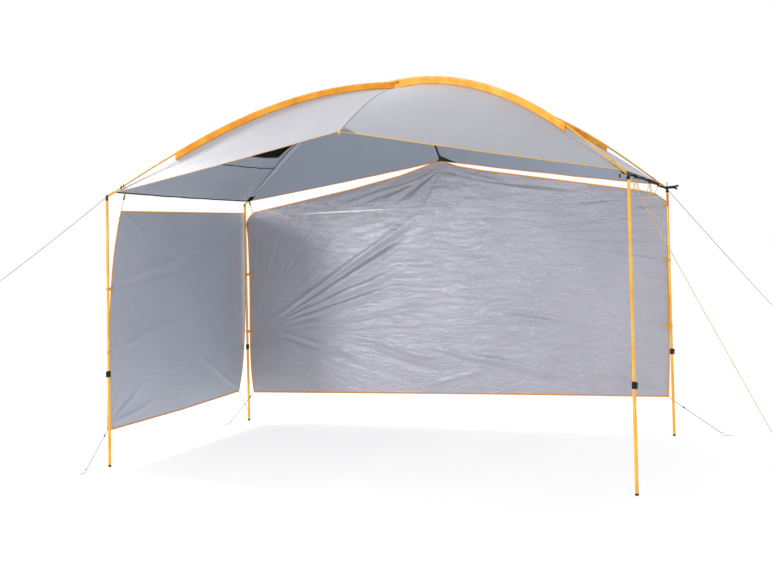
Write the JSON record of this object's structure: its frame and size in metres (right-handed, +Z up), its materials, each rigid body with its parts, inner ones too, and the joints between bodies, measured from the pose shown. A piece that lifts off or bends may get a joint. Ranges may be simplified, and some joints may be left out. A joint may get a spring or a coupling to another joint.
{
  "type": "tarp shelter",
  "caption": "Open-sided tarp shelter: fabric canopy on two crossing arch poles and telescoping legs, with a side wall and a back wall pegged out on cords.",
  "frame": {"origin": "on the ground, under the middle of the four leg tops", "axes": "+X to the right along the long open front side, +Y from the front to the back wall, +Z up"},
  "size_m": [5.0122, 3.7361, 2.712],
  "materials": {
    "canopy_fabric": "ripstop polyester with a coated, slightly silvery face",
    "vent_mesh": "open knitted mesh",
    "wall_fabric": "coated polyester with a silvery sheen",
    "arch_pole": "satin coated fibreglass",
    "sleeve_fabric": "plain woven polyester",
    "leg_tube": "satin powder coat",
    "black_plastic": "moulded, fine grain",
    "webbing": "woven webbing",
    "cord": "braided cord with a light tracer",
    "peg_steel": "plain drawn wire"
  },
  "bodies": {
    "canopy_frame": {"canopy_front": "canopy_fabric", "canopy_back": "canopy_fabric", "canopy_left": "canopy_fabric", "canopy_right": "canopy_fabric", "vent_mesh": "vent_mesh", "left_wall": "wall_fabric", "back_wall": "wall_fabric", "upper_arch_pole": "arch_pole", "lower_arch_pole": "arch_pole", "upper_sleeve": "sleeve_fabric", "lower_sleeve_left": "sleeve_fabric", "lower_sleeve_right": "sleeve_fabric", "upper_tube_front_left": "leg_tube", "upper_tube_back_left": "leg_tube", "upper_tube_front_right": "leg_tube", "upper_tube_back_right": "leg_tube", "corner_socket_front_left": "black_plastic", "corner_socket_back_left": "black_plastic", "corner_socket_front_right": "black_plastic", "corner_socket_back_right": "black_plastic", "lower_leg_strap_front_left": "webbing", "upper_leg_strap_front_left": "webbing", "lower_leg_strap_back_left": "webbing", "upper_leg_strap_back_left": "webbing", "lower_leg_strap_back_right": "webbing", "upper_leg_strap_back_right": "webbing", "guyline_front_left": "cord", "guyline_front_right": "cord", "guyline_back_right": "cord", "guyline_tensioner_front_left": "black_plastic", "guyline_tensioner_front_right": "black_plastic", "guyline_tensioner_back_right": "black_plastic", "wall_tie_front_left": "cord", "wall_tie_back_left_outer": "cord", "wall_tie_back_left_inner": "cord", "wall_tie_back_right": "cord", "tie_slider_front_left": "black_plastic", "tie_slider_back_left_inner": "black_plastic", "tie_slider_back_right": "black_plastic", "peg_front_left": "peg_steel", "peg_back_left_outer": "peg_steel", "peg_back_left_inner": "peg_steel", "peg_back_right": "peg_steel"},
    "lower_leg_front_left": {"lower_tube_front_left": "leg_tube", "foot_cap_front_left": "black_plastic", "clamp_collar_front_left": "black_plastic"},
    "lever_front_left": {"clamp_lever_front_left": "black_plastic"},
    "lower_leg_back_left": {"lower_tube_back_left": "leg_tube", "foot_cap_back_left": "black_plastic", "clamp_collar_back_left": "black_plastic"},
    "lever_back_left": {"clamp_lever_back_left": "black_plastic"},
    "lower_leg_front_right": {"lower_tube_front_right": "leg_tube", "foot_cap_front_right": "black_plastic", "clamp_collar_front_right": "black_plastic"},
    "lever_front_right": {"clamp_lever_front_right": "black_plastic"},
    "lower_leg_back_right": {"lower_tube_back_right": "leg_tube", "foot_cap_back_right": "black_plastic", "clamp_collar_back_right": "black_plastic"},
    "lever_back_right": {"clamp_lever_back_right": "black_plastic"}
  },
  "joints": [
    {"name": "leg_slide_front_left", "type": "slide", "parent": "canopy_frame", "child": "lower_leg_front_left", "axis": [0.0145, 0.0145, 0.9998], "range_m": [0, 0.11]},
    {"name": "leg_slide_back_left", "type": "slide", "parent": "canopy_frame", "child": "lower_leg_back_left", "axis": [0.0145, -0.0145, 0.9998], "range_m": [0, 0.095]},
    {"name": "leg_slide_front_right", "type": "slide", "parent": "canopy_frame", "child": "lower_leg_front_right", "axis": [-0.0145, 0.0145, 0.9998], "range_m": [0, 0.26]},
    {"name": "leg_slide_back_right", "type": "slide", "parent": "canopy_frame", "child": "lower_leg_back_right", "axis": [-0.0145, -0.0145, 0.9998], "range_m": [0, 0.16]},
    {"name": "clamp_lever_turn_front_left", "type": "hinge", "parent": "lower_leg_front_left", "child": "lever_front_left", "pos_m": [-1.81906, -1.07382, 0.66319], "axis": [-0.9397, 0.342, 0.0087], "range_deg": [0, 110]},
    {"name": "clamp_lever_turn_back_left", "type": "hinge", "parent": "lower_leg_back_left", "child": "lever_back_left", "pos_m": [-1.80675, 1.03999, 0.66253], "axis": [-0.9397, -0.342, 0.0087], "range_deg": [0, 110]},
    {"name": "clamp_lever_turn_front_right", "type": "hinge", "parent": "lower_leg_front_right", "child": "lever_front_right", "pos_m": [1.82982, -1.06306, 0.66319], "axis": [-0.342, -0.9397, 0.0087], "range_deg": [0, 110]},
    {"name": "clamp_lever_turn_back_right", "type": "hinge", "parent": "lower_leg_back_right", "child": "lever_back_right", "pos_m": [1.82982, 1.06306, 0.66319], "axis": [0.342, -0.9397, -0.0087], "range_deg": [0, 110]}
  ]
}
